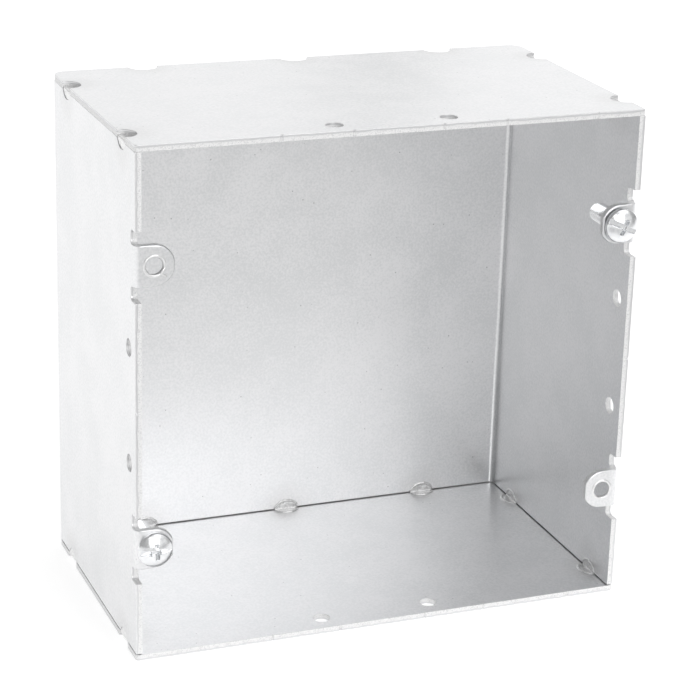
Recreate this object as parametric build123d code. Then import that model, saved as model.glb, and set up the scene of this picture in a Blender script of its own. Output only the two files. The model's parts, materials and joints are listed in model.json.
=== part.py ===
from build123d import *
import os

# A square welded box of galvanised sheet steel, open at the front, with four tapped cover tabs.
# Frame: X across, Y from the open front to the back, Z up, in millimetres.
# Origin: the centre of the bottom plate's underside.

# Outside of the box
box_width = 127.0
box_height = 127.0
box_depth = 73.0

# Sheet, folds and plate corners
sheet = 1.59
wall_bend_inside = 1.3
seam_gap_top = 0.03
seam_gap_bottom = 0.25
plate_back_corner = 3.5
plate_front_corner = 0.9

# Plain holes, two in each of the four sides
side_hole_radius = 2.15
side_hole_pitch = 28.6
side_hole_from_front = 5.4

# Cover tabs, folded in from the side walls, with their tapped holes
tab_hole_from_side = 4.75
tab_hole_from_end = 28.575
tab_hole_radius = 2.02
tab_hole_chamfer = 0.25
tab_width = 10.0
tab_past_hole = 4.5
tab_set_back = 0.6
tab_bend_inside = 0.4

# Relief notches beside each tab
relief_height = 3.45
relief_depth = 3.6

# Half-round notches for the welds, centred on the outer corner lines of the box
notch_radius = 3.65
back_notch_pitch = 40.1
side_notch_first = 10.9
side_notch_pitch = 47.9

# Weld plugs that fill the notches
weld_clearance = 0.03
weld_below_plate = 1.15
weld_inset = 0.1

# Shear nicks left on the front rim
nick_depth = 0.35
nick_width = 0.7
nicks_from_middle = (-29.0, -11.3, 11.1, 27.1, 50.8)

# Cover screws
screw_length = 12.7
screw_clearance = 0.04
screw_tip_chamfer = 0.5
head_radius = 4.3
head_height = 2.7
head_edge = 0.9
slot_width = 1.2
slot_depth = 1.55
cross_span = 4.6
cross_floor = 2.0
cross_arm = 1.0
cross_depth = 2.0
raised_screw_lift = 0.5
raised_screw_turn = -25.0
seated_screw_turn = 4.0

# Places that several pieces share
front = -box_depth / 2
back = box_depth / 2
side = box_width / 2
wall_low = sheet + seam_gap_bottom
wall_high = box_height - sheet - seam_gap_top
middle = box_height / 2
tab_face = front + tab_set_back
tab_bend_outside = tab_bend_inside + sheet
side_hole_places = (-side_hole_pitch / 2, side_hole_pitch / 2)
tab_heights = {"lower": tab_hole_from_end, "upper": box_height - tab_hole_from_end}
tab_sides = {"left": tab_hole_from_side - side, "right": side - tab_hole_from_side}
cut_through = 4 * sheet


def channel():
    """Back wall and both side walls, as one sheet bent at the two back corners."""
    outer = Rectangle(box_width, box_depth)
    outer = fillet(outer.vertices().sort_by(Axis.Y)[-2:], wall_bend_inside + sheet)
    inner = Pos(0, -sheet / 2) * Rectangle(box_width - 2 * sheet, box_depth - sheet)
    inner = fillet(inner.vertices().sort_by(Axis.Y)[-2:], wall_bend_inside)
    return Pos(0, 0, wall_low) * extrude(outer - inner, wall_high - wall_low)


def tab_clearance():
    """What is cut from the left wall round one tab: the strip that is folded and its two reliefs."""
    folded = tab_set_back + tab_bend_outside
    shape = Pos(folded / 2, 0) * Rectangle(folded, tab_width)
    relief = Pos(relief_depth / 2, 0) * Rectangle(relief_depth, relief_height)
    relief = fillet(relief.vertices().sort_by(Axis.X)[-2:], relief_depth - folded)
    for turn in (-1, 1):
        shape += Pos(0, turn * (tab_width + relief_height) / 2) * relief
    return Pos(-side, front, 0) * extrude(Plane.YZ * shape, cut_through / 2, both=True)


def left_tab():
    """One tab with its bend, at height zero, on the left wall."""
    hole_x = tab_sides["left"]
    end_x = hole_x + tab_past_hole
    bend_x = tab_bend_outside - side
    bend_y = tab_face + tab_bend_outside
    ring = Circle(tab_bend_outside) - Circle(tab_bend_inside)
    quarter = Rectangle(tab_bend_outside, tab_bend_outside, align=(Align.MAX, Align.MAX))
    flat = Pos((bend_x + end_x) / 2, tab_face + sheet / 2) * Rectangle(end_x - bend_x, sheet)
    plan = Pos(bend_x, bend_y) * (ring & quarter) + flat
    bent_strip = extrude(plan, tab_width / 2, both=True)
    outline = Pos((hole_x - side) / 2, 0) * Rectangle(hole_x + side, tab_width)
    outline += Pos(hole_x, 0) * Circle(tab_width / 2)
    tab = bent_strip & Pos(0, tab_face, 0) * extrude(Plane.XZ * outline, 2 * tab_bend_outside, both=True)
    tab -= Pos(hole_x, tab_face, 0) * extrude(Plane.XZ * Circle(tab_hole_radius), cut_through, both=True)
    rims = tab.edges().filter_by(GeomType.CIRCLE).filter_by(lambda edge: edge.radius == tab_hole_radius)
    return chamfer(rims, tab_hole_chamfer)


def weld_sites():
    """Name and frame of each weld: X points into the box across, Z into it up or down, Y along the edge."""
    side_places = {"front": front + side_notch_first, "rear": front + side_notch_first + side_notch_pitch}
    back_places = {"left": -back_notch_pitch, "middle": 0, "right": back_notch_pitch}
    sites = {}
    for level, height, inwards in (("top", box_height, -1), ("bottom", 0, 1)):
        for name, x in back_places.items():
            edge = Plane(origin=(x, back, height), x_dir=(0, -1, 0), z_dir=(0, 0, inwards))
            sites[f"{level}_weld_back_{name}"] = edge.location
        for wall, x in (("left", -side), ("right", side)):
            for name, y in side_places.items():
                edge = Plane(origin=(x, y, height), x_dir=(-x, 0, 0), z_dir=(0, 0, inwards))
                sites[f"{level}_weld_{wall}_{name}"] = edge.location
    return sites


def wall_notch():
    """Half-round cut through a wall, at a weld frame."""
    return extrude(Plane.YZ * Circle(notch_radius), cut_through / 2, both=True)


def plate_notch():
    """Half-round cut through a plate, at a weld frame."""
    return extrude(Circle(notch_radius), cut_through / 2, both=True)


def weld_plug():
    """Weld metal that fills both notches, at a weld frame. It is sunk below the plate's outer face."""
    radius = notch_radius - weld_clearance
    inner = sheet - weld_inset
    size = 2 * notch_radius
    from_wall_face = Box(size, size, size, align=(Align.MIN, Align.CENTER, Align.CENTER))
    from_plate_face = Box(size, size, size, align=(Align.CENTER, Align.CENTER, Align.MIN))
    in_plate = Pos(0, 0, weld_below_plate) * extrude(Circle(radius), inner - weld_below_plate)
    in_plate &= Pos(weld_inset, 0, 0) * from_wall_face
    in_wall = Pos(weld_inset, 0, 0) * extrude(Plane.YZ * Circle(radius), inner - weld_inset)
    in_wall &= Pos(0, 0, inner) * from_plate_face
    return in_plate + in_wall


def rim_nick():
    """V-shaped nick that a shear blade leaves, pointing along +Y from the front rim, cut along Z."""
    shape = Polygon((-nick_width / 2, 0), (0, nick_depth), (nick_width / 2, 0), align=None)
    return extrude(shape, cut_through, both=True)


def box_body():
    """The folded sheet with its tabs, notches and holes."""
    body = channel()
    for height in tab_heights.values():
        gap = Pos(0, 0, height) * tab_clearance()
        tab = Pos(0, 0, height) * left_tab()
        body -= [gap, mirror(gap, Plane.YZ)]
        body += [tab, mirror(tab, Plane.YZ)]
    body -= [place * wall_notch() for place in weld_sites().values()]
    for z in side_hole_places:
        hole = extrude(Plane.YZ * Circle(side_hole_radius), box_width, both=True)
        body -= Pos(0, front + side_hole_from_front, middle + z) * hole
    for x in (-side, side):
        body -= Pos(x, front, middle) * Rot(0, 90, 0) * rim_nick()
    return body


def cover_plate(height, level):
    """Flat top or bottom sheet, with its underside at the given height."""
    shape = Rectangle(box_width, box_depth)
    shape = fillet(shape.vertices().sort_by(Axis.Y)[-2:], plate_back_corner)
    shape = fillet(shape.vertices().sort_by(Axis.Y)[:2], plate_front_corner)
    for x in side_hole_places:
        shape -= Pos(x, front + side_hole_from_front) * Circle(side_hole_radius)
    plate = Pos(0, 0, height) * extrude(shape, sheet)
    plate -= [place * plate_notch() for name, place in weld_sites().items() if name.startswith(level)]
    plate -= [Pos(x, front, height) * rim_nick() for x in nicks_from_middle]
    return plate


def cross_recess():
    """Cross with sloping ends, cut down from the top of the head."""
    span, floor = cross_span / 2, cross_floor / 2
    wing = Polygon((-span, 0), (span, 0), (floor, -cross_depth), (-floor, -cross_depth), align=None)
    wing = extrude(Plane.XZ * wing, cross_arm / 2, both=True)
    return Pos(0, 0, head_height) * (wing + Rot(0, 0, 90) * wing)


def cover_screw():
    """Round-head screw along Z, head up, with the head's underside at height zero."""
    crown_height = head_height - head_edge
    crown_radius = (head_radius**2 + crown_height**2) / (2 * crown_height)
    head = extrude(Circle(head_radius), head_height)
    head &= Pos(0, 0, head_height - crown_radius) * Sphere(crown_radius)
    slot = Pos(0, 0, head_height) * Box(3 * head_radius, slot_width, 2 * slot_depth)
    shank = extrude(Circle(tab_hole_radius - screw_clearance), -screw_length)
    shank = chamfer(shank.edges().group_by(Axis.Z)[0], screw_tip_chamfer)
    return head + shank - slot - cross_recess()


def placed_screw(wall, level, turn, lift):
    """A screw in one tab's hole, turned about its axis and backed out by the lift."""
    place = Pos(tab_sides[wall], tab_face - lift, tab_heights[level])
    return place * Rot(90, 0, 0) * Rot(0, 0, turn) * cover_screw()


nodes = {
    "box_body": box_body(),
    "bottom_plate": cover_plate(0, "bottom"),
    "top_plate": cover_plate(box_height - sheet, "top"),
    "lower_left_screw": placed_screw("left", "lower", seated_screw_turn, 0),
    "upper_right_screw": placed_screw("right", "upper", raised_screw_turn, raised_screw_lift),
}
for name, place in weld_sites().items():
    nodes[name] = place * weld_plug()

os.makedirs("parts", exist_ok=True)
for name, solid in nodes.items():
    export_step(solid, f"parts/{name}.step")
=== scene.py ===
import json
import math
from functools import partial

import bmesh
import bpy
from mathutils import Matrix, Vector, noise
from mathutils.geometry import tessellate_polygon


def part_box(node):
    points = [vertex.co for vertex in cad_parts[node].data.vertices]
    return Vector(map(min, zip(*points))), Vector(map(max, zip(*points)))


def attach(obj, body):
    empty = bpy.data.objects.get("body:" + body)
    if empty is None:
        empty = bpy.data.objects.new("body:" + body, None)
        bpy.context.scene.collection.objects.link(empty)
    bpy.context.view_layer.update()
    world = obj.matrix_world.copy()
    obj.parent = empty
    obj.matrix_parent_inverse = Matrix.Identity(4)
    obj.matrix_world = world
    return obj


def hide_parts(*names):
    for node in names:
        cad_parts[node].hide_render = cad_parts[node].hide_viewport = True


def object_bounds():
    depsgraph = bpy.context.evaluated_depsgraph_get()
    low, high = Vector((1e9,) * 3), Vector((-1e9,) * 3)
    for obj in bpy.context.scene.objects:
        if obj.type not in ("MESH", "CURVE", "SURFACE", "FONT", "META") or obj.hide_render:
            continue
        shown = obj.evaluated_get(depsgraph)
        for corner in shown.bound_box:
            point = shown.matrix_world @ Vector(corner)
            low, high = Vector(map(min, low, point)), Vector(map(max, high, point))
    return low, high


# A square welded box of galvanised sheet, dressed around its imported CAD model.
# Frame: X across, Y from the open front to the back, Z up, in metres. Sizes below are in millimetres.

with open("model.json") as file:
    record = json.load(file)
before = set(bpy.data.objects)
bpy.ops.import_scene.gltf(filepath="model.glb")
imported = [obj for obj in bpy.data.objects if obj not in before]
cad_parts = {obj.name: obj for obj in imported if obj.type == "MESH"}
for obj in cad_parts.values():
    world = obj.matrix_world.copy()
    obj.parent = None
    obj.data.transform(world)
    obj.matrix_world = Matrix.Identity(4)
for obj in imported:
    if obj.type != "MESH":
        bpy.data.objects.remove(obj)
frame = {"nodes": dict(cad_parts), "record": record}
weldNodes = sorted(name for name in frame["nodes"] if "_weld_" in name)
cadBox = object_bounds()
mm = 0.001


def linear(hexColour):
    # sRGB hex to linear RGBA
    parts = [int(hexColour[i : i + 2], 16) / 255 for i in (1, 3, 5)]
    return (*(p / 12.92 if p <= 0.04045 else ((p + 0.055) / 1.055) ** 2.4 for p in parts), 1.0)


def perMm(size):
    # noise scale on Object coordinates for a grain of this size
    return 1 / (size * mm)


def meshFrom(shape, name):
    # a bmesh becomes a mesh
    mesh = bpy.data.meshes.new(name)
    shape.to_mesh(mesh)
    shape.free()
    return mesh


def addObject(name, data):
    # an object in the scene
    made = bpy.data.objects.new(name, data)
    bpy.context.scene.collection.objects.link(made)
    return made


def addNode(tree, kind, inputs=None, **settings):
    # adds a node, sets its properties, and fills its inputs with values or links;
    # a node among the inputs stands for its first usable output, and a list for several links
    node = tree.nodes.new(kind)
    for name, value in settings.items():
        setattr(node, name, value)
    for name, value in (inputs or {}).items():
        for source in value if isinstance(value, list) else [value]:
            if isinstance(source, bpy.types.Node):
                source = next(socket for socket in source.outputs if socket.enabled)
            if isinstance(source, bpy.types.NodeSocket):
                tree.links.new(source, node.inputs[name])
            else:
                node.inputs[name].default_value = source
    return node


def newMaterial(name):
    # an empty material, what adds nodes to it, and its Object coordinates
    material = bpy.data.materials.new(name)
    material.use_nodes = True
    material.node_tree.nodes.clear()
    add = partial(addNode, material.node_tree)
    return material, add, add("ShaderNodeTexCoord").outputs["Object"]


def endMaterial(material, surface):
    # gives it its shader, which is a metal's unless the surface says otherwise
    tree = material.node_tree
    shader = addNode(tree, "ShaderNodeBsdfPrincipled", {"Metallic": 1.0, **surface})
    addNode(tree, "ShaderNodeOutputMaterial", {"Surface": shader})
    return material


def setBands(ramp, bands):
    # gives a colour ramp its places and colours
    elements = ramp.color_ramp.elements
    while len(elements) < len(bands):
        elements.new(0.5)
    for element, (position, hexColour) in zip(elements, bands):
        element.position = position
        element.color = linear(hexColour)


def mottled(add, place, finish, detail):
    # noise of the finish's grain, and the colours that its bands make of it
    inputs = {"Vector": place, "Scale": perMm(finish["grain"]), "Detail": detail}
    grain = add("ShaderNodeTexNoise", inputs)
    colour = add("ShaderNodeValToRGB", {"Fac": grain})
    setBands(colour, finish["bands"])
    return grain, colour


# Materials. Bands are (place in the noise, colour there), and sizes are in millimetres. The inner
# dictionaries are inputs of nodes: From is where a change starts and is full, and To what it makes.

zincSheet = {
    "bands": [(0.4, "#e1e2e3"), (0.6, "#eeeeef")],
    "grain": 0.6,
    "cloud": 14.0,
    "cloudShare": 0.35,
    "roughness": {"From Min": 0.3, "From Max": 0.7, "To Min": 0.3, "To Max": 0.42},
    "fleck": "#b6b7b8",
    "flecks": 1.5,  # spacing of the darker pinholes in the zinc
    "fleckChance": {"From Min": 0.06, "From Max": 0.048},
    "fleckRadius": {"From Min": 0.16, "From Max": 0.08},  # as a share of the spacing
    "orangePeel": 1.6,
    "bump": {"Strength": 0.25, "Distance": 0.016 * mm},
    "nearWeldTone": "#b4b1ad",  # darker round each weld
    "nearWeldReach": {"From Min": 8.5 * mm, "From Max": 3.5 * mm, "To Max": 0.12},  # from the weld's middle
}


def makeGalvanisedSheet():
    # hot-dip galvanised and rolled sheet: a fine speckle of zinc grains, soft blurred reflections
    material, add, place = newMaterial("galvanisedRolledSheet")
    grain, cloud, peel = (
        add("ShaderNodeTexNoise", {"Vector": place, "Scale": perMm(zincSheet[key]), "Detail": detail})
        for key, detail in (("grain", 3.0), ("cloud", 2.0), ("orangePeel", 1.0))
    )
    shares = {"Factor": zincSheet["cloudShare"], "A": grain, "B": cloud}
    mixed = add("ShaderNodeMix", shares, data_type="FLOAT")
    colour = add("ShaderNodeValToRGB", {"Fac": mixed})
    setBands(colour, zincSheet["bands"])
    gloss = add("ShaderNodeMapRange", {"Value": mixed, **zincSheet["roughness"]})
    bump = add("ShaderNodeBump", {"Height": peel, **zincSheet["bump"]})
    cells = add("ShaderNodeTexVoronoi", {"Vector": place, "Scale": perMm(zincSheet["flecks"])})
    chance = add("ShaderNodeSeparateColor", {"Color": cells.outputs["Color"]})
    chosen = add("ShaderNodeMapRange", {"Value": chance.outputs["Red"], **zincSheet["fleckChance"]})
    dot = add("ShaderNodeMapRange", {"Value": cells.outputs["Distance"], **zincSheet["fleckRadius"]})
    fleck = add("ShaderNodeMath", {0: chosen, 1: dot}, operation="MULTIPLY")
    nearest = None
    for name in weldNodes:
        low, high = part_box(name)
        apart = add("ShaderNodeVectorMath", {0: place, 1: (low + high) / 2}, operation="DISTANCE")
        if nearest:
            apart = add("ShaderNodeMath", {0: nearest, 1: apart}, operation="MINIMUM")
        nearest = apart
    nearWeldTone = add(
        "ShaderNodeMapRange", {"Value": nearest, **zincSheet["nearWeldReach"]}, interpolation_type="SMOOTHSTEP"
    )
    for share, spot in ((fleck, "fleck"), (nearWeldTone, "nearWeldTone")):
        inputs = {"Factor": share, "A": colour, "B": linear(zincSheet[spot])}
        colour = add("ShaderNodeMix", inputs, data_type="RGBA")
    return endMaterial(material, {"Base Color": colour, "Roughness": gloss, "Normal": bump})


shearedSteel = {
    # place across the thickness, from the outer face in, and the colour there
    "bands": [(0.0, "#ededed"), (0.2, "#e0e0e1"), (0.3, "#cfd0d1"), (0.4, "#f0f0f0"), (1.0, "#f4f4f4")],
    "waver": 2.5,
    "waverDepth": {"To Min": -0.2, "To Max": 0.2},
    "torn": {"From Min": 0.25, "From Max": 0.45},
    "pit": "#d9d9da",
    "pits": 0.28,
    "pitDepth": {"From Min": 0.5, "From Max": 0.32, "To Max": 0.8},
    "roughness": {"To Min": 0.4, "To Max": 0.7},
    "bump": {"Distance": 0.05 * mm},
}


def makeShearedEdge():
    # edge cut by a press: burnished next to the outer face, then torn and sparkling to the inner one
    material, add, place = newMaterial("shearedSheetEdge")
    across = add("ShaderNodeAttribute", attribute_name="acrossSheet")
    waver, pits = (
        add("ShaderNodeTexNoise", {"Vector": place, "Scale": perMm(shearedSteel[key]), "Detail": 2.0})
        for key in ("waver", "pits")
    )
    shift = add("ShaderNodeMapRange", {"Value": waver, **shearedSteel["waverDepth"]})
    moved = add("ShaderNodeMath", {0: across.outputs["Fac"], 1: shift}, operation="ADD")
    bands = add("ShaderNodeValToRGB", {"Fac": moved})
    setBands(bands, shearedSteel["bands"])
    pitted = add("ShaderNodeMapRange", {"Value": pits, **shearedSteel["pitDepth"]})
    torn = add("ShaderNodeMapRange", {"Value": moved, **shearedSteel["torn"]})
    both = add("ShaderNodeMath", {0: pitted, 1: torn}, operation="MULTIPLY")
    shares = {"Factor": both, "A": bands, "B": linear(shearedSteel["pit"])}
    colour = add("ShaderNodeMix", shares, data_type="RGBA")
    gloss = add("ShaderNodeMapRange", {"Value": torn, **shearedSteel["roughness"]})
    bump = add("ShaderNodeBump", {"Height": pits, "Strength": torn, **shearedSteel["bump"]})
    return endMaterial(material, {"Base Color": colour, "Roughness": gloss, "Normal": bump})


# painted shade in the seams: the cut edges in the gaps between walls and plates are darkened where the gap
# is unlit
paintedSeamShade = {
    "unshaded": "#dedede",  # at the outer face, and in front
    "bands": [(0.0, "#1e1d1c"), (1.0, "#4a4846")],
    "grain": 0.8,
    "across": {"From Min": 0.3, "From Max": 0.6},  # as a share of the thickness
    "fromFront": {"From Min": -33 * mm, "From Max": -24 * mm},  # along the depth of the box
    "roughness": 0.65,
}


def makeSeamShadeEdge():
    # painted shade: cut edge inside a seam, dull, and darkened deeper in the gap and back from the front
    # opening in place of the shade there
    material, add, place = newMaterial("paintedSeamShadeEdge")
    colour = mottled(add, place, paintedSeamShade, 2.0)[1]
    across = add("ShaderNodeAttribute", attribute_name="acrossSheet")
    split = add("ShaderNodeSeparateXYZ", {"Vector": place})
    inside, behind = (
        add("ShaderNodeMapRange", {"Value": value, **paintedSeamShade[reach]})
        for value, reach in ((across.outputs["Fac"], "across"), (split.outputs["Y"], "fromFront"))
    )
    seamShadeMask = add("ShaderNodeMath", {0: inside, 1: behind}, operation="MULTIPLY")
    shares = {"Factor": seamShadeMask, "A": linear(paintedSeamShade["unshaded"]), "B": colour}
    seamShaded = add("ShaderNodeMix", shares, data_type="RGBA")
    return endMaterial(material, {"Base Color": seamShaded, "Roughness": paintedSeamShade["roughness"]})


weldSteel = {
    "bands": [(0.3, "#dcdcdc"), (0.62, "#fafafa")],
    "grain": 0.5,
    "roughness": 0.45,
    "bump": {"Strength": 0.5, "Distance": 0.05 * mm},
}


def makeWeldMetal():
    # weld metal left as it set: pale and satin, pitted, a little darker in the hollows
    material, add, place = newMaterial("weldMetalAsSet")
    grain, colour = mottled(add, place, weldSteel, 4.0)
    bump = add("ShaderNodeBump", {"Height": grain, **weldSteel["bump"]})
    surface = {"Base Color": colour, "Roughness": weldSteel["roughness"], "Normal": bump}
    return endMaterial(material, surface)


platedScrew = {
    "bands": [(0.35, "#e6e7e9"), (0.6, "#f3f4f5")],
    "grain": 0.9,
    "roughness": {"To Min": 0.2, "To Max": 0.28},
}


def makeZincPlate():
    # bright zinc plating over cold-formed steel: near mirror, faintly uneven
    material, add, place = newMaterial("zincPlatedSteel")
    grain, colour = mottled(add, place, platedScrew, 2.0)
    gloss = add("ShaderNodeMapRange", {"Value": grain, **platedScrew["roughness"]})
    return endMaterial(material, {"Base Color": colour, "Roughness": gloss})


sheetFace = makeGalvanisedSheet()
sheetEdge = makeShearedEdge()
seamShadeEdge = makeSeamShadeEdge()
weldMetal = makeWeldMetal()
zincPlate = makeZincPlate()
print("materials made")

# Sheet pieces, cut as flat blanks and then folded, in millimetres.

boxSheet = {
    "width": 127.0,
    "depth": 73.0,
    "height": 127.0,
    "thickness": 1.59,
    "edgeRound": 0.13,  # on the side that the punch entered
    "burrRound": 0.07,  # on the other side
    "corner": 0.16,  # in the plane of the sheet
    "holeRadius": 2.15,
    "holePitch": 28.6,
    "holeFromFront": 5.4,
    "notchRadius": 3.65,
    "backNotches": (-40.1, 0.0, 40.1),
    "sideNotches": (10.9, 58.8),  # from the front
    "nickWidth": 0.7,
    "nickDepth": 0.35,
    "nickTip": 0.1,
    "roundSteps": 3,
    "holeSteps": 40,
    "notchSteps": 18,
    "filletStep": 12,  # degrees
    "filletRoom": 0.45,  # the most that a fillet takes of the shorter side at its corner
}
wallSheet = {
    "low": 1.84,
    "high": 125.38,
    "backBend": 1.3,
    "tabBend": 0.4,
    "tabSetBack": 0.6,
    "tabHalfWidth": 5.0,
    "tabPastHole": {"upperLeft": 4.85, "lowerLeft": 4.5, "upperRight": 4.5, "lowerRight": 4.5},
    "tabLevels": (28.575, 98.425),
    "holeFromSide": 4.75,
    "tabCorner": 0.55,
    "tabRoll": 0.52,  # below tabCorner
    "boreRoot": 2.42,
    "boreRim": 0.2,
    "reliefHeight": 3.45,
    "reliefDepth": 3.6,
    "rollFromBend": 0.4,  # where the rolled edge of a tab starts
    "bendSteps": 8,
    "endSteps": 12,
    "tabMargin": 0.01,
    "seamMargin": 0.02,
    "onCut": 1e-5,  # points closer than this to the cut of a bend lie on it
    "merge": 5e-4,  # points closer than this after the bends are cut become one
}
plateSheet = {"backCorner": 3.5, "frontCorner": 0.9, "nicks": (-29.0, -11.3, 11.1, 27.1, 50.8)}
half = boxSheet["width"] / 2
front, back = -boxSheet["depth"] / 2, boxSheet["depth"] / 2
sheetThick = boxSheet["thickness"]
holePlaces = (-boxSheet["holePitch"] / 2, boxSheet["holePitch"] / 2)


def weldNotch(beyond):
    # half round, its centre this far outside the edge, as (along, into the sheet, corner radius)
    radius, corner = boxSheet["notchRadius"], boxSheet["corner"]
    lowest = math.asin(beyond / radius)
    points = []
    steps = boxSheet["notchSteps"]
    for i in range(steps + 1):
        angle = math.pi - lowest - (math.pi - 2 * lowest) * i / steps
        sharp = corner if i in (0, steps) else 0
        points.append((radius * math.cos(angle), radius * math.sin(angle) - beyond, sharp))
    return points


def shearNick():
    wide, corner = boxSheet["nickWidth"] / 2, boxSheet["corner"]
    return [(-wide, 0, corner), (0, boxSheet["nickDepth"], boxSheet["nickTip"]), (wide, 0, corner)]


def tabAndReliefs(rim, bendStart, holeCentre, pastHole):
    # a tab between its two relief notches, all on the wall's front edge
    side = wallSheet["tabHalfWidth"]
    relief = wallSheet["reliefDepth"] - (rim - bendStart)
    inner, outer = side, side + wallSheet["reliefHeight"]
    middle = rim - holeCentre
    flatAngle = math.asin(pastHole / side)
    points = [
        (-outer, 0, boxSheet["corner"]),
        (-outer, wallSheet["reliefDepth"], relief),
        (-inner, wallSheet["reliefDepth"], relief),
    ]
    for i in range(wallSheet["endSteps"] + 1):
        angle = flatAngle * i / wallSheet["endSteps"]
        sharp = wallSheet["tabCorner"] if i == wallSheet["endSteps"] else 0
        points.append((-side * math.cos(angle), middle - side * math.sin(angle), sharp))
    return points + [(-along, inwards, sharp) for along, inwards, sharp in reversed(points)]


def edgePath(start, end, features):
    # points from start to end, with each feature set in at its distance along
    start, end = Vector(start), Vector(end)
    along = (end - start).normalized()
    inwards = Vector((-along.y, along.x))
    path = []
    for distance, points in sorted(features, key=lambda feature: feature[0]):
        for a, b, sharp in points:
            place = start + along * (distance + a) + inwards * b
            path.append((place.x, place.y, sharp))
    return path


def closedPath(corners, rounds, edges):
    # the corner points, with the features of each edge between them
    path = []
    for i, features in enumerate(edges):
        path.append((*corners[i], rounds[i]))
        path += edgePath(corners[i], corners[(i + 1) % 4], features)
    return path


def holePath(x, y, radius):
    # clockwise, so that the sheet lies on its left
    steps = boxSheet["holeSteps"]
    turns = (-2 * math.pi * i / steps for i in range(steps))
    return [(x + radius * math.cos(turn), y + radius * math.sin(turn), 0) for turn in turns]


def roundedPath(path):
    # corners filleted; each point with its normal, which looks away from the sheet
    made = []
    for i, (x, y, sharp) in enumerate(path):
        here = Vector((x, y))
        before, after = Vector(path[i - 1][:2]), Vector(path[(i + 1) % len(path)][:2])
        come, leave = (here - before).normalized(), (after - here).normalized()
        outCome, outLeave = Vector((come.y, -come.x)), Vector((leave.y, -leave.x))
        if not sharp:
            made.append((here, (outCome + outLeave).normalized()))
            continue
        turn = math.atan2(come.x * leave.y - come.y * leave.x, come.dot(leave))
        room = boxSheet["filletRoom"] * min((here - before).length, (after - here).length)
        reach = min(sharp * math.tan(abs(turn) / 2), room)
        radius = reach / math.tan(abs(turn) / 2)
        convex = math.copysign(1, turn)
        centre = here - come * reach - outCome * radius * convex
        steps = max(2, math.ceil(math.degrees(abs(turn)) / boxSheet["filletStep"]))
        for k in range(steps + 1):
            out = outCome.copy()
            out.rotate(Matrix.Rotation(turn * k / steps, 2))
            made.append((centre + out * radius * convex, out))
    return made


def cutBlank(contours):
    # the blank: X and Y in its plane, Z from its outer face inwards; every edge rounded
    shape = bmesh.new()
    facing = shape.verts.layers.float_vector.new("facing")
    across = shape.verts.layers.float.new("acrossSheet")
    steps = boxSheet["roundSteps"]
    capLoops = ([], [])
    for path, rollAt, burr in contours:
        points = roundedPath(path)
        rings = []
        for level in range(2 * steps + 2):
            ring = []
            for place, out in points:
                if level <= steps:
                    angle, radius, depthSign = math.pi / 2 * level / steps, rollAt(place), -1
                    depth = radius * (1 - math.cos(angle))
                else:
                    angle, radius, depthSign = math.pi / 2 * (2 * steps + 1 - level) / steps, burr, 1
                    depth = sheetThick - radius * (1 - math.cos(angle))
                spot = place - out * radius * (1 - math.sin(angle))
                vert = shape.verts.new((spot.x, spot.y, depth))
                flat, steep = math.sin(angle), depthSign * math.cos(angle)
                vert[facing] = (out.x * flat, out.y * flat, steep)
                vert[across] = depth / sheetThick
                ring.append(vert)
            rings.append(ring)
        for level, (ring, following) in enumerate(zip(rings, rings[1:])):
            for i in range(len(ring)):
                j = (i + 1) % len(ring)
                face = shape.faces.new((ring[i], ring[j], following[j], following[i]))
                face.material_index = 0 if level < steps else 1
        capLoops[0].append(rings[0])
        capLoops[1].append(rings[-1])
    for loops in capLoops:
        flat = [vert for loop in loops for vert in loop]
        for corners in tessellate_polygon([[vert.co for vert in loop] for loop in loops]):
            shape.faces.new([flat[k] for k in corners])
    return shape


def finishSheet(shape, place, nodeName, pieceName):
    # moves every point of the blank to its place in the box, with its normal
    facing = shape.verts.layers.float_vector["facing"]
    for vert in shape.verts:
        vert.co, vert[facing] = place(vert.co.copy(), vert[facing].normalized())
    bmesh.ops.scale(shape, vec=(mm, mm, mm), verts=shape.verts)
    bmesh.ops.recalc_face_normals(shape, faces=shape.faces)
    for face in shape.faces:
        face.smooth = True
    normals = [vert[facing].normalized() for vert in shape.verts]
    mesh = meshFrom(shape, pieceName)
    mesh.attributes.remove(mesh.attributes["facing"])
    mesh.normals_split_custom_set_from_vertices(normals)
    for material in (sheetFace, sheetEdge, seamShadeEdge):
        mesh.materials.append(material)
    piece = addObject(pieceName, mesh)
    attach(piece, "root")
    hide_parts(nodeName)


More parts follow.
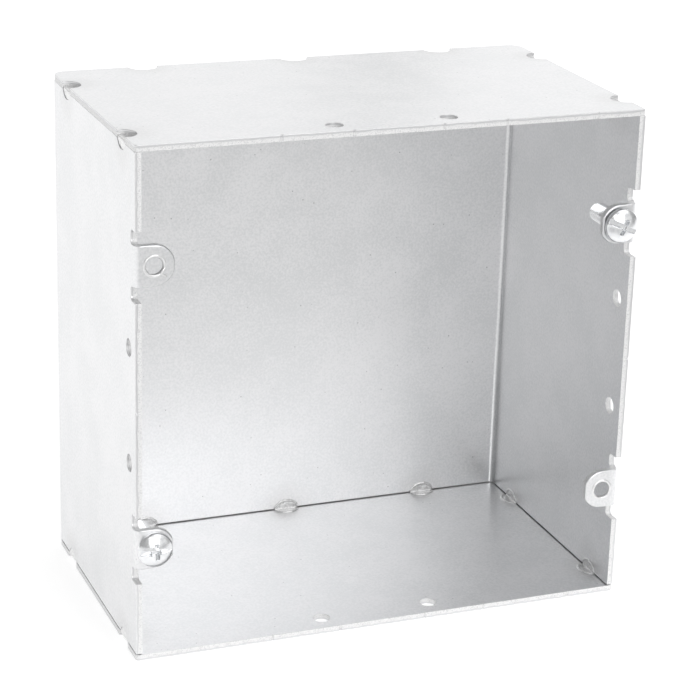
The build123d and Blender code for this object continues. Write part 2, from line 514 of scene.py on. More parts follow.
def makeFoldedWalls():
    # one blank from the left tabs across the back wall to the right tabs, folded at six bends
    low, high, middle = wallSheet["low"], wallSheet["high"], boxSheet["height"] / 2
    outerBack, outerTab = wallSheet["backBend"] + sheetThick, wallSheet["tabBend"] + sheetThick
    backArc, tabArc = (math.pi / 2 * (wallSheet[bend] + sheetThick / 2) for bend in ("backBend", "tabBend"))
    backHalf = half - outerBack
    sideStart = backHalf + backArc
    rim = sideStart + (back - outerBack) - front
    tabBendStart = rim - wallSheet["tabSetBack"] - outerTab
    tabFlat = tabBendStart + tabArc
    holeCentre = tabFlat + (half - outerTab) - (half - wallSheet["holeFromSide"])

    sideNotches = [rim - fromFront for fromFront in boxSheet["sideNotches"]]
    notches = [*boxSheet["backNotches"], *sideNotches, *(-q for q in sideNotches)]
    marks = {}
    for side in ("Left", "Right"):
        ends = [wallSheet["tabPastHole"][row + side] for row in ("lower", "upper")]
        tabs = [tabAndReliefs(rim, tabBendStart, holeCentre, end) for end in ends]
        marks[side] = [*zip(wallSheet["tabLevels"], tabs), (middle, shearNick())]
    edges = [
        [(q + rim, weldNotch(low)) for q in notches],
        [(z - low, mark) for z, mark in marks["Right"]],
        [(rim - q, weldNotch(boxSheet["height"] - high)) for q in notches],
        [(high - z, mark) for z, mark in marks["Left"]],
    ]
    corners = [(-rim, low), (rim, low), (rim, high), (-rim, high)]
    outline = closedPath(corners, [boxSheet["corner"]] * 4, edges)

    def isTab(q, z):
        near = min(abs(z - level) for level in wallSheet["tabLevels"])
        return abs(q) > tabBendStart and near < wallSheet["tabHalfWidth"] + wallSheet["tabMargin"]

    def rollAt(point):
        rolled = isTab(point.x, point.y) and abs(point.x) > tabBendStart + wallSheet["rollFromBend"]
        return wallSheet["tabRoll"] if rolled else boxSheet["edgeRound"]

    contours = [(outline, rollAt, boxSheet["burrRound"])]
    for side in (-1, 1):
        for z in holePlaces:
            place = side * (rim - boxSheet["holeFromFront"])
            hole = holePath(place, middle + z, boxSheet["holeRadius"])
            contours.append((hole, lambda point: boxSheet["edgeRound"], boxSheet["burrRound"]))
        for z in wallSheet["tabLevels"]:
            hole = holePath(side * holeCentre, z, wallSheet["boreRoot"])
            contours.append((hole, lambda point: wallSheet["boreRim"], wallSheet["boreRim"]))
    blank = cutBlank(contours)
    for face in blank.faces:  # the edges that lie against the plates, which get the painted seam shade
        height = face.calc_center_median().y
        near = min(abs(height - low), abs(height - high)) < wallSheet["seamMargin"]
        if face.material_index == 1 and near:
            face.material_index = 2
    for start, length in ((backHalf, backArc), (tabBendStart, tabArc)):
        for i in range(wallSheet["bendSteps"] + 1):
            for side in (-1, 1):
                parts = [*blank.verts, *blank.edges, *blank.faces]
                cut = (side * (start + length * i / wallSheet["bendSteps"]), 0, 0)
                plane = {"plane_co": cut, "plane_no": (1, 0, 0), "dist": wallSheet["onCut"]}
                bmesh.ops.bisect_plane(blank, geom=parts, **plane)
    bmesh.ops.remove_doubles(blank, verts=blank.verts, dist=wallSheet["merge"])

    def fold(point, out):
        # along the blank, up, and inwards, to a place on the folded box
        side = math.copysign(1, point.x)
        q, z, inwards = abs(point.x), point.y, point.z
        along = out.x * side
        if q <= backHalf:
            spot, ahead, inner = (q, back - inwards), (1, 0), (0, -1)
        elif q <= sideStart:
            turn = math.pi / 2 * (q - backHalf) / backArc
            ahead, inner = (math.cos(turn), -math.sin(turn)), (-math.sin(turn), -math.cos(turn))
            radius = outerBack - inwards
            spot = (backHalf - inner[0] * radius, back - outerBack - inner[1] * radius)
        elif q <= tabBendStart or not isTab(q, z):
            spot, ahead, inner = (half - inwards, back - outerBack - (q - sideStart)), (0, -1), (-1, 0)
        elif q <= tabFlat:
            turn = math.pi / 2 * (q - tabBendStart) / tabArc
            ahead, inner = (-math.sin(turn), -math.cos(turn)), (-math.cos(turn), math.sin(turn))
            radius = outerTab - inwards
            bendY = front + wallSheet["tabSetBack"] + outerTab
            spot = (half - outerTab - inner[0] * radius, bendY - inner[1] * radius)
        else:
            spot = (half - outerTab - (q - tabFlat), front + wallSheet["tabSetBack"] + inwards)
            ahead, inner = (-1, 0), (0, 1)
        place = Vector((side * spot[0], spot[1], z))
        turned = [along * ahead[k] + out.z * inner[k] for k in range(2)]
        return place, Vector((side * turned[0], turned[1], out.y))

    finishSheet(blank, fold, "box_body", "foldedBoxSheet")


def makeCoverPlate(nodeName, pieceName, outerZ, inwards):
    # flat plate with its outer face at outerZ
    corners = [(-half, front), (half, front), (half, back), (-half, back)]
    sideNotches = [(y, weldNotch(0)) for y in boxSheet["sideNotches"]]
    edges = [
        [(x + half, shearNick()) for x in plateSheet["nicks"]],
        sideNotches,
        [(half - x, weldNotch(0)) for x in boxSheet["backNotches"]],
        [(boxSheet["depth"] - y, notch) for y, notch in sideNotches],
    ]
    rounds = [plateSheet[key] for key in ("frontCorner", "frontCorner", "backCorner", "backCorner")]
    paths = [closedPath(corners, rounds, edges)]
    for x in holePlaces:
        paths.append(holePath(x, front + boxSheet["holeFromFront"], boxSheet["holeRadius"]))
    contours = [(path, lambda point: boxSheet["edgeRound"], boxSheet["burrRound"]) for path in paths]

    def lay(point, out):
        place = Vector((point.x, point.y, outerZ + point.z * inwards))
        return place, Vector((out.x, out.y, out.z * inwards))

    finishSheet(cutBlank(contours), lay, nodeName, pieceName)


makeFoldedWalls()
makeCoverPlate("top_plate", "topPlateSheet", boxSheet["height"], -1)
makeCoverPlate("bottom_plate", "bottomPlateSheet", 0.0, 1)
print("sheet pieces folded")

# Geometry node helpers, all sizes in millimetres.


def newGeometryTree(name, sizes):
    # a tree with a geometry input and a named one for each size, then what adds its nodes, and its inputs
    tree = bpy.data.node_groups.new(name, "GeometryNodeTree")
    tree.interface.new_socket("Geometry", in_out="INPUT", socket_type="NodeSocketGeometry")
    for label, value in sizes.items():
        kind = "NodeSocketInt" if isinstance(value, int) else "NodeSocketFloat"
        tree.interface.new_socket(label, in_out="INPUT", socket_type=kind).default_value = value
    tree.interface.new_socket("Geometry", in_out="OUTPUT", socket_type="NodeSocketGeometry")
    add = partial(addNode, tree)
    return tree, add, add("NodeGroupInput").outputs


def endGeometryTree(add, geometry, material):
    real = add("GeometryNodeRealizeInstances", {"Geometry": geometry})
    painted = add("GeometryNodeSetMaterial", {"Geometry": real, "Material": material})
    add("NodeGroupOutput", {"Geometry": painted})


def growMesh(name, tree, sizes, start=None):
    # runs a tree on a mesh and gives the result as a plain mesh
    source = addObject(name, start or bpy.data.meshes.new(name))
    modifier = source.modifiers.new(name, "NODES")
    modifier.node_group = tree
    for item in tree.interface.items_tree:
        if item.in_out == "INPUT" and item.name in sizes:
            modifier[item.identifier] = sizes[item.name]
    return takeMesh(source)


def takeMesh(source):
    # the evaluated mesh of a working object, which is then removed
    graph = bpy.context.evaluated_depsgraph_get()
    graph.update()
    mesh = bpy.data.meshes.new_from_object(source.evaluated_get(graph), depsgraph=graph)
    bpy.data.objects.remove(source)
    return mesh


def placeMesh(shape, mesh, matrix):
    # adds a mesh, placed by the matrix, to a bmesh
    moved = mesh.copy()
    moved.transform(matrix)
    shape.from_mesh(moved)
    bpy.data.meshes.remove(moved)


def finishPiece(name, shape, material, replaced):
    # a millimetre bmesh becomes a finished piece in metres
    bmesh.ops.scale(shape, vec=(mm, mm, mm), verts=shape.verts)
    mesh = meshFrom(shape, name)
    mesh.materials.clear()
    mesh.materials.append(material)
    piece = addObject(name, mesh)
    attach(piece, "root")
    if replaced:
        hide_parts(*replaced)


threadSizes = {
    "Radius": 1.86,  # of the helix that the ridge is built on
    "Pitch": 0.794,  # 32 threads to the inch
    "Turns": 15.0,
    "Height": 0.55,  # from the helix to the crest, below zero for a thread that points inwards
    "Foot": 0.72,  # width of the ridge at the helix
    "Crest": 0.12,
    "Fade": 0.6,  # turns over which each end runs out
    "End": 0.05,  # size of the ridge at its very end, as a share
    "Steps": 40,  # points to a turn
}


def makeThreadTree(material):
    # a ridge with sloping flanks, swept along a right-hand helix
    tree, add, size = newGeometryTree("helicalThread", threadSizes)
    height = add("ShaderNodeMath", {0: size["Pitch"], 1: size["Turns"]}, operation="MULTIPLY")
    helix = add(
        "GeometryNodeCurveSpiral",
        {
            "Resolution": size["Steps"],
            "Rotations": size["Turns"],
            "Start Radius": size["Radius"],
            "End Radius": size["Radius"],
            "Height": height,
            "Reverse": True,
        },
    )
    upright = add("GeometryNodeSetCurveNormal", {"Curve": helix}, mode="Z_UP")
    halfHeight = add("ShaderNodeMath", {0: size["Height"], 1: 0.5}, operation="MULTIPLY")
    ridge = add(
        "GeometryNodeCurvePrimitiveQuadrilateral",
        {"Bottom Width": size["Foot"], "Top Width": size["Crest"], "Height": size["Height"], "Offset": 0.0},
        mode="TRAPEZOID",
    )
    lift = add("ShaderNodeCombineXYZ", {"Y": halfHeight})
    lifted = add("GeometryNodeTransform", {"Geometry": ridge, "Translation": lift})
    turned = add("GeometryNodeTransform", {"Geometry": lifted, "Rotation": (0, 0, math.radians(-90))})
    along = add("GeometryNodeSplineParameter")
    fromStart = add("ShaderNodeMath", {0: along, 1: size["Turns"]}, operation="MULTIPLY")
    fromEnd = add("ShaderNodeMath", {0: size["Turns"], 1: fromStart}, operation="SUBTRACT")
    nearest = add("ShaderNodeMath", {0: fromStart, 1: fromEnd}, operation="MINIMUM")
    fade = add("ShaderNodeMapRange", {"Value": nearest, "From Max": size["Fade"], "To Min": size["End"]})
    swept = add(
        "GeometryNodeCurveToMesh",
        {"Curve": upright, "Profile Curve": turned, "Scale": fade, "Fill Caps": True},
    )
    endGeometryTree(add, swept, material)
    return tree


threadTree = makeThreadTree(zincPlate)

coverScrew = {
    "headRadius": 4.3,
    "headHeight": 2.7,
    "crownEdge": 0.9,
    "rim": 0.45,
    "rimFoot": 0.55,  # height of the rim's straight part, as a share of crownEdge
    "rimBend": 0.28,
    "underEdge": 0.14,
    "crownSteps": 14,
    "rimSteps": 5,
    "coreRadius": 1.88,
    "neck": (0.3, 0.5),  # what widens the core under the head, and how far it goes into the head
    "length": 12.7,
    "tip": 0.5,
    "slotWidth": 1.2,
    "slotDepth": 1.55,
    "crossSpan": 4.6,
    "crossFloor": 2.0,
    "crossArm": 1.0,
    "crossDepth": 2.0,
    "cutterAbove": 1.0,  # height of the cutters over the head
    "headMesh": 0.075,  # size of the mesh that the head is made even with
    "softening": (0.5, 4),  # strength and rounds
    "steps": 96,
    "merge": 1e-4,  # points closer than this on the axis become one
    "sharpCore": 30,  # degrees
    "sharpThread": 25,
    "threadEnds": (0.2, 0.6),  # thread left off under the head, and its start as a share of the tip
}
screwTurns = {
    "lower_left_screw": ("seatedCoverScrew", 4.0),
    "upper_right_screw": ("raisedCoverScrew", -25.0),
}


def headOutline():
    # half outline of the head, from the crown down, as (radius, height)
    radius, height, edge = (coverScrew[key] for key in ("headRadius", "headHeight", "underEdge"))
    rise = height - coverScrew["crownEdge"]
    crown = (radius**2 + rise**2) / (2 * rise)
    outermost = math.asin((radius - coverScrew["rim"]) / crown)
    points = []
    for i in range(coverScrew["crownSteps"] + 1):
        angle = outermost * i / coverScrew["crownSteps"]
        points.append((crown * math.sin(angle), height - crown * (1 - math.cos(angle))))
    shoulder = points[-1]
    bend = (radius, shoulder[1] - coverScrew["rimBend"])
    foot = (radius, coverScrew["crownEdge"] * coverScrew["rimFoot"])
    for i in range(1, coverScrew["rimSteps"] + 1):  # the crown turns down into the rim
        t = i / coverScrew["rimSteps"]
        shares = ((1 - t) ** 2, 2 * t * (1 - t), t**2)
        pulls = list(zip(shares, (shoulder, bend, foot)))
        points.append(tuple(sum(share * point[k] for share, point in pulls) for k in range(2)))
    return points + [(radius, edge), (radius - edge, 0.0), (0.0, 0.0)]


def coreOutline():
    # half outline of the shank below its thread, from inside the head down to the tip
    radius, length, tip = (coverScrew[key] for key in ("coreRadius", "length", "tip"))
    wider, inHead = coverScrew["neck"]
    return [
        (0.0, inHead),
        (radius + wider, inHead),
        (radius + wider, 0.0),
        (radius, -wider),
        (radius, tip - length),
        (radius - tip, -length),
        (0.0, -length),
    ]


def turned(outline):
    # an outline of (radius, height) spun about Z
    shape = bmesh.new()
    verts = [shape.verts.new((radius, 0, height)) for radius, height in outline]
    edges = [shape.edges.new(pair) for pair in zip(verts, verts[1:])]
    bmesh.ops.spin(
        shape,
        geom=verts + edges,
        axis=(0, 0, 1),
        cent=(0, 0, 0),
        angle=2 * math.pi,
        steps=coverScrew["steps"],
    )
    bmesh.ops.remove_doubles(shape, verts=shape.verts, dist=coverScrew["merge"])
    bmesh.ops.recalc_face_normals(shape, faces=shape.faces)
    return shape


def wedge(topLength, floorLength, width, depth):
    # cutter with sloping ends, its floor at depth below the head's top and its top above it
    above = coverScrew["cutterAbove"]
    slope = (topLength - floorLength) / 2 / depth
    shape = bmesh.new()
    bmesh.ops.create_cube(shape, size=1)
    for vert in shape.verts:
        high = vert.co.z > 0
        reach = topLength / 2 + slope * above if high else floorLength / 2
        vert.co.x = math.copysign(reach, vert.co.x)
        vert.co.y = math.copysign(width / 2, vert.co.y)
        vert.co.z = coverScrew["headHeight"] + (above if high else -depth)
    return shape


def makeScrewHead():
    # slot and cross cut out of the head, then its edges softened as the die leaves them
    head = addObject("screwHead", meshFrom(turned(headOutline()), "screwHead"))
    slotLength = 3 * coverScrew["headRadius"]
    slot = (slotLength, slotLength, coverScrew["slotWidth"], coverScrew["slotDepth"])
    cross = [coverScrew[key] for key in ("crossSpan", "crossFloor", "crossArm", "crossDepth")]
    shapes = {"slotCutter": (slot, 0), "crossCutter": (cross, 0), "otherCrossCutter": (cross, 90)}
    cutters = []
    for name, (shape, turn) in shapes.items():
        cutter = addObject(name, meshFrom(wedge(*shape), name))
        cutter.data.transform(Matrix.Rotation(math.radians(turn), 4, "Z"))
        cutters.append(cutter)
        cut = head.modifiers.new(cutter.name, "BOOLEAN")
        cut.operation = "DIFFERENCE"
        cut.solver = "EXACT"
        cut.object = cutter
    even = head.modifiers.new("evenMesh", "REMESH")
    even.mode = "VOXEL"
    even.voxel_size = coverScrew["headMesh"]
    soft = head.modifiers.new("softEdges", "SMOOTH")
    soft.factor, soft.iterations = coverScrew["softening"]
    mesh = takeMesh(head)
    for cutter in cutters:
        bpy.data.objects.remove(cutter)
    mesh.shade_smooth()
    return mesh


def makeScrewMesh():
    # head, core and rolled thread
    bare, start = coverScrew["threadEnds"]
    turns = (coverScrew["length"] - coverScrew["tip"] - bare) / threadSizes["Pitch"]
    core = meshFrom(turned(coreOutline()), "screwCore")
    thread = growMesh("screwThread", threadTree, {"Turns": turns})
    for mesh, sharp in ((core, coverScrew["sharpCore"]), (thread, coverScrew["sharpThread"])):
        mesh.shade_smooth()
        mesh.set_sharp_from_angle(angle=math.radians(sharp))
    shape = bmesh.new()
    placeMesh(shape, makeScrewHead(), Matrix.Identity(4))
    placeMesh(shape, core, Matrix.Identity(4))
    lowest = coverScrew["tip"] * start - coverScrew["length"]
    placeMesh(shape, thread, Matrix.Translation((0, 0, lowest)))
    return meshFrom(shape, "coverScrew")


screwMesh = makeScrewMesh()
upright = Matrix.Rotation(math.radians(90), 4, "X")
for nodeName, (pieceName, turn) in screwTurns.items():
    low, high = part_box(nodeName)
    seat = Vector(((low.x + high.x) / 2, low.y, (low.z + high.z) / 2)) / mm
    seat.y += coverScrew["headHeight"]
    place = Matrix.Translation(seat) @ upright @ Matrix.Rotation(math.radians(turn), 4, "Z")
    screwShape = bmesh.new()
    placeMesh(screwShape, screwMesh, place)
    finishPiece(pieceName, screwShape, zincPlate, [nodeName])
print("cover screws made")

tappedThread = {
    "Radius": 2.42,
    "Height": -0.4,
    "Foot": 0.7,
    "Crest": 0.1,
    "Turns": 1.7,
    "Fade": 0.25,
    "Steps": 48,
}
tappedRim = {
    "radius": 2.42,
    "thickness": 0.42,
    "proud": 0.24,
    "waver": 0.16,
    "waves": 0.9,  # to a millimetre
    "seed": (4.0, 0, 0),
    "steps": 72,
    "sides": 10,
    "threadDepth": 1.45,  # where the thread starts below the tab's face
}
# a curl of swarf left by the tap, as (right, up, in front of the tab, half thickness)
swarfCurl = [
    (2.5, 0.3, 0.02, 0.08),
    (2.35, -0.5, 0.14, 0.26),
    (1.8, -1.2, 0.24, 0.38),
    (1.5, -1.75, 0.26, 0.34),
    (1.9, -2.15, 0.22, 0.28),
    (2.4, -2.4, 0.2, 0.4),
    (2.75, -2.7, 0.12, 0.16),
]
swarfSides = 8


def sweepRound(shape, path, sides, closed):
    # tube through the points of a path, as (place, half thickness), with its ends closed
    rings = []
    count = len(path)
    for i, (place, thick) in enumerate(path):
        after = path[(i + 1) % count][0] if closed or i + 1 < count else place
        before = path[i - 1][0] if closed or i else place
        along = (after - before).normalized()
        first = firstAxis - along * firstAxis.dot(along) if rings else along.orthogonal()
        firstAxis = first.normalized()
        second = along.cross(firstAxis)
        ring = []
        for k in range(sides):
            angle = 2 * math.pi * k / sides
            spot = place + (firstAxis * math.cos(angle) + second * math.sin(angle)) * thick
            ring.append(shape.verts.new(spot))
        rings.append(ring)
    pairs = list(zip(rings, rings[1:])) + ([(rings[-1], rings[0])] if closed else [])
    for ring, following in pairs:
        for k in range(sides):
            shape.faces.new((ring[k], ring[(k + 1) % sides], following[(k + 1) % sides], following[k]))
    if not closed:
        shape.faces.new(rings[0])
        shape.faces.new(rings[-1])


def rimPath():
    # ring of metal that the tap pushed up, a little uneven
    radius, thickness, steps = (tappedRim[key] for key in ("radius", "thickness", "steps"))
    path = []
    for i in range(steps):
        angle = 2 * math.pi * i / steps
        place = Vector((radius * math.cos(angle), radius * math.sin(angle), 0))
        uneven = tappedRim["waver"] * noise.noise(place * tappedRim["waves"] + Vector(tappedRim["seed"]))
        place.z = tappedRim["proud"] - thickness + uneven
        path.append((place, thickness))
    return path


# where the thread of each open hole starts, in degrees
openHoles = {"upper_left_cover_hole": 40.0, "lower_right_cover_hole": 80.0}
mountPlaces = {mount["name"]: Vector(mount["pos_m"]) for mount in frame["record"]["mounts"]}
tapMesh = growMesh("tappedThread", makeThreadTree(sheetEdge), tappedThread)
tapShape = bmesh.new()
for mountName, start in openHoles.items():
    # the frame of the hole: X to the right, Y up, Z out of the tab's front face
    hole = mountPlaces[mountName] / mm - Vector((0, sheetThick / 2, 0))
    outwards = Matrix.Translation(hole) @ upright
    inside = Matrix.Translation((0, 0, -tappedRim["threadDepth"]))
    placeMesh(tapShape, tapMesh, outwards @ inside @ Matrix.Rotation(math.radians(start), 4, "Z"))
    pushed = bmesh.new()
    sweepRound(pushed, rimPath(), tappedRim["sides"], True)
    if mountName == "upper_left_cover_hole":
        sweepRound(pushed, [(Vector(place), thick) for *place, thick in swarfCurl], swarfSides, False)
    bmesh.ops.recalc_face_normals(pushed, faces=pushed.faces)
    rimMesh = meshFrom(pushed, "tappedRim")
    rimMesh.shade_smooth()
    placeMesh(tapShape, rimMesh, outwards)
finishPiece("tappedTabThreads", tapShape, sheetEdge, [])
print("tapped threads made")

weldBead = {
    "Notch Radius": 3.62,
    "Sheet": 1.59,
    "Recess": 1.15,  # below the plate's outer face
    "Inset": 0.16,
    "Lip Radius": 4.05,
    "Lip Thickness": 0.36,
    "Lip Sweep": 2.16,  # radians
    "Lip Ends": 0.35,  # the lower, the blunter the ends of a lip
    "Disc Steps": 64,
    "Lip Steps": 48,
    "Lip Sides": 14,
}
beadFusing = {"voxel": 0.15, "melting": (0.5, 3), "plugInset": 0.1}
beadSurface = {
    "Ripple": 0.07,
    "Ripple Size": 1.2,
    "Grit": 0.035,
    "Grit Size": 0.4,
    "Seed": 3.0,
}
noiseReach = {"From Min": 0.25, "From Max": 0.75, "To Min": -1.0}  # what the noise spans, made -1 to 1


def weldSites():
    # outer corner point and turn of each weld, in its own frame: X into the box, Z in from the plate
    inset = beadFusing["plugInset"]
    sites = []
    for name in weldNodes:
        low, high = (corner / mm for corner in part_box(name))
        middle = (low + high) / 2
        inwards = 1 if name.startswith("bottom") else -1
        level = low.z - weldBead["Recess"] if inwards > 0 else high.z + weldBead["Recess"]
        if "_back_" in name:
            point, across = (middle.x, high.y + inset, level), Vector((0, -1, 0))
        elif "_left_" in name:
            point, across = (low.x - inset, middle.y, level), Vector((1, 0, 0))
        else:
            point, across = (high.x + inset, middle.y, level), Vector((-1, 0, 0))
        up = Vector((0, 0, inwards))
        sites.append((point, Matrix((across, up.cross(across), up)).transposed().to_euler()))
    return sites


def makeBeadTree(material):
    # at every site, half discs in the plate's and the wall's notches, and the raised lip round each
    tree, add, size = newGeometryTree("cornerWelds", weldBead)
    inner = add("ShaderNodeMath", {0: size["Sheet"], 1: size["Inset"]}, operation="SUBTRACT")
    parts = []
    for near, axis, tilt in (("Recess", "Z", 0), ("Inset", "X", 90)):
        turn = (0, math.radians(tilt), 0)
        ends = {0: inner, 1: size[near]}
        thick = add("ShaderNodeMath", ends, operation="SUBTRACT")
        both = add("ShaderNodeMath", ends, operation="ADD")
        middle = add("ShaderNodeMath", {0: both, 1: 0.5}, operation="MULTIPLY")
        disc = add(
            "GeometryNodeMeshCylinder",
            {"Vertices": size["Disc Steps"], "Radius": size["Notch Radius"], "Depth": thick},
        )
        lift = add("ShaderNodeCombineXYZ", {axis: middle})
        placed = add("GeometryNodeTransform", {"Geometry": disc, "Translation": lift, "Rotation": turn})
        parts.append(placed)
    position = add("GeometryNodeInputPosition")
    split = add("ShaderNodeSeparateXYZ", {"Vector": position})
    kept = {"Y": split.outputs["Y"]}
    for axis, least in (("X", "Inset"), ("Z", "Recess")):
        ends = {0: split.outputs[axis], 1: size[least]}
        kept[axis] = add("ShaderNodeMath", ends, operation="MAXIMUM")
    held = add("ShaderNodeCombineXYZ", kept)
    discs = add("GeometryNodeJoinGeometry", {"Geometry": parts})
    halves = add("GeometryNodeSetPosition", {"Geometry": discs, "Position": held})
    halfSweep = add("ShaderNodeMath", {0: size["Lip Sweep"], 1: -0.5}, operation="MULTIPLY")
    arc = add(
        "GeometryNodeCurveArc",
        {
            "Resolution": size["Lip Steps"],
            "Radius": size["Lip Radius"],
            "Start Angle": halfSweep,
            "Sweep Angle": size["Lip Sweep"],
        },
    )
    profile = add(
        "GeometryNodeCurvePrimitiveCircle",
        {"Resolution": size["Lip Sides"], "Radius": size["Lip Thickness"]},
    )
    along = add("GeometryNodeSplineParameter")
    angle = add("ShaderNodeMath", {0: along, 1: math.pi}, operation="MULTIPLY")
    bulge = add("ShaderNodeMath", {0: angle}, operation="SINE")
    swelling = add("ShaderNodeMath", {0: bulge, 1: size["Lip Ends"]}, operation="POWER")
    lip = add(
        "GeometryNodeCurveToMesh",
        {"Curve": arc, "Profile Curve": profile, "Scale": swelling, "Fill Caps": True},
    )
    lips = []
    for axis, tilt in (("Z", 0), ("X", -90)):
        turn = (0, math.radians(tilt), 0)
        lift = add("ShaderNodeCombineXYZ", {axis: size["Sheet"]})
        placed = add("GeometryNodeTransform", {"Geometry": lip, "Translation": lift, "Rotation": turn})
        lips.append(placed)
    bead = add("GeometryNodeJoinGeometry", {"Geometry": [halves, *lips]})
    turns = add("GeometryNodeInputNamedAttribute", {"Name": "siteTurn"}, data_type="FLOAT_VECTOR")
    asRotation = add("FunctionNodeEulerToRotation", {"Euler": turns})
    placedBeads = add(
        "GeometryNodeInstanceOnPoints",
        {"Points": size["Geometry"], "Instance": bead, "Rotation": asRotation},
    )
    endGeometryTree(add, placedBeads, material)
    return tree


def makeRippleTree(material):
    # weld metal that froze uneven: slow ripples and fine grit along the normals
    tree, add, size = newGeometryTree("frozenMetal", beadSurface)
    normal = add("GeometryNodeInputNormal")
    geometry = size["Geometry"]
    for depth, grain in (("Ripple", "Ripple Size"), ("Grit", "Grit Size")):
        scale = add("ShaderNodeMath", {0: 1.0, 1: size[grain]}, operation="DIVIDE")
        waves = add(
            "ShaderNodeTexNoise", {"W": size["Seed"], "Scale": scale, "Detail": 1.0}, noise_dimensions="4D"
        )
        signed = add("ShaderNodeMapRange", {"Value": waves, **noiseReach})
        amount = add("ShaderNodeMath", {0: signed, 1: size[depth]}, operation="MULTIPLY")
        push = add("ShaderNodeVectorMath", {0: normal, "Scale": amount}, operation="SCALE")
        geometry = add("GeometryNodeSetPosition", {"Geometry": geometry, "Offset": push})
    endGeometryTree(add, geometry, material)
    return tree


def makeWeldBeads():
    sites = weldSites()
    points = bpy.data.meshes.new("weldSites")
    points.from_pydata([point for point, turn in sites], [], [])
    turnAttribute = points.attributes.new("siteTurn", "FLOAT_VECTOR", "POINT")
    for element, site in zip(turnAttribute.data, sites):
        element.vector = site[1]
    rough = growMesh("cornerWelds", makeBeadTree(weldMetal), {}, points)
    working = addObject("weldWorking", rough)
    fuse = working.modifiers.new("fuse", "REMESH")
    fuse.mode = "VOXEL"
    fuse.voxel_size = beadFusing["voxel"]
    melt = working.modifiers.new("melt", "SMOOTH")
    melt.factor, melt.iterations = beadFusing["melting"]
    rippled = growMesh("frozenMetal", makeRippleTree(weldMetal), {}, takeMesh(working))
    rippled.shade_smooth()
    shape = bmesh.new()
    shape.from_mesh(rippled)
    finishPiece("cornerWeldBeads", shape, weldMetal, weldNodes)


makeWeldBeads()
print("weld beads made")

studio = {
    "floorRadius": 6.0,  # in metres, as boxSize, boxDistance and boxAim
    "floorDrop": 0.02,
    "floorSteps": 96,
    "floorColour": "#e7e7e7",
    "floorRoughness": 0.9,
    # painted light: the floor glows behind the box and on its left, which also hides the box's shadow:
    # where that starts and is full
    "paintedGlow": "#ffffff",
    "paintedLightBehind": {"From Min": -200 * mm, "From Max": -60 * mm, "To Max": 0.56},  # along Y
    "paintedLightLeft": {"From Min": -230 * mm, "From Max": -320 * mm, "To Max": 0.7},  # along X
    "world": "#acacac",
    "boxSize": 0.9,
    "boxDistance": 1.2,
    "boxAim": (0, 0, 0.06),
}


def makeFloor():
    # a pale floor with a painted glow, wide enough that its end never shows
    material, add, place = newMaterial("paleFloorPaintedGlow")
    split = add("ShaderNodeSeparateXYZ", {"Vector": place})
    behind, left = (
        add(
            "ShaderNodeMapRange",
            {"Value": split.outputs[axis], **studio[paintedGlow]},
            interpolation_type="SMOOTHSTEP",
        )
        for axis, paintedGlow in (("Y", "paintedLightBehind"), ("X", "paintedLightLeft"))
    )
    strength = add("ShaderNodeMath", {0: behind, 1: left}, operation="MAXIMUM")
    colour, roughness = linear(studio["floorColour"]), studio["floorRoughness"]
    surface = {"Metallic": 0.0, "Base Color": colour, "Roughness": roughness}
    # painted light: emission that brightens the floor behind the box and on its left
    paintedGlow = {"Emission Color": linear(studio["paintedGlow"]), "Emission Strength": strength}
    shape = bmesh.new()
    steps, radius = studio["floorSteps"], studio["floorRadius"]
    bmesh.ops.create_circle(shape, cap_ends=True, segments=steps, radius=radius)
    drop = Vector((0, 0, cadBox[0].z - studio["floorDrop"] * mm))
    bmesh.ops.translate(shape, verts=shape.verts, vec=drop)
    floor = addObject("studioFloor", meshFrom(shape, "studioFloor"))
    floor.data.materials.append(endMaterial(material, {**surface, **paintedGlow}))


def makeWorld():
    world = bpy.data.worlds.new("greyStudio")
    world.use_nodes = True
    background = world.node_tree.nodes["Background"]
    background.inputs["Color"].default_value = linear(studio["world"])
    bpy.context.scene.world = world


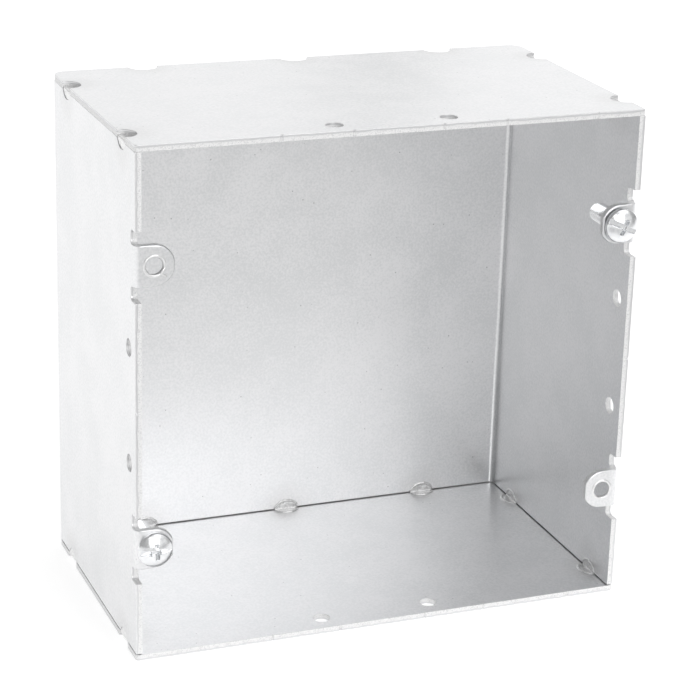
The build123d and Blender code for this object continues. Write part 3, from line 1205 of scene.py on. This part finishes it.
# azimuth in degrees from the back wall's side round by the right, height in degrees, and brightness
softBoxes = {
    "behind": (0, 22, 0.74),
    "behindRight": (45, 22, 0.78),
    "frontRight": (135, 22, 0.4),
    "front": (180, 25, 1.95),
    "frontRightHigh": (135, 60, 1.0),
}


def direction(azimuth, elevation):
    # unit vector, both in radians
    level = math.cos(elevation)
    return Vector((math.sin(azimuth) * level, math.cos(azimuth) * level, math.sin(elevation)))


def makeSoftBox(name, azimuth, elevation, radiance):
    azimuth, elevation = math.radians(azimuth), math.radians(elevation)
    light = bpy.data.lights.new(name, "AREA")
    light.shape = "SQUARE"
    light.size = studio["boxSize"]
    light.energy = radiance * math.pi * studio["boxSize"] ** 2
    towards = direction(azimuth, elevation)
    place = Vector(studio["boxAim"]) + towards * studio["boxDistance"]
    turn = (-towards).to_track_quat("-Z", "Y").to_matrix().to_4x4()
    addObject(name, light).matrix_world = Matrix.Translation(place) @ turn


makeFloor()
makeWorld()
for boxName, (azimuth, elevation, radiance) in softBoxes.items():
    makeSoftBox(boxName, azimuth, elevation, radiance)
bpy.context.scene.view_settings.view_transform = "Standard"
print("studio made")

# the photo's viewpoint, solved from the box's corners
camera = {
    "place": (-205.64, -524.37, 262.84),
    "azimuth": 21.7516,
    "elevation": 19.816,
    "roll": 1.6751,
    "lens": 121.8,
    "sensor": 36.0,
    "clip": (0.01, 20.0),
}


def makeCamera():
    azimuth, elevation, roll = (math.radians(camera[k]) for k in ("azimuth", "elevation", "roll"))
    ahead = direction(azimuth, -elevation)
    level = Vector((math.cos(azimuth), -math.sin(azimuth), 0))
    above = level.cross(ahead)
    right = level * math.cos(roll) + above * math.sin(roll)
    up = above * math.cos(roll) - level * math.sin(roll)
    data = bpy.data.cameras.new("photoCamera")
    data.lens = camera["lens"]
    data.sensor_width = camera["sensor"]
    data.clip_start, data.clip_end = camera["clip"]
    view = addObject("photoCamera", data)
    turn = Matrix((right, up, -ahead)).transposed().to_4x4()
    view.matrix_world = Matrix.Translation(Vector(camera["place"]) * mm) @ turn
    bpy.context.scene.camera = view


makeCamera()
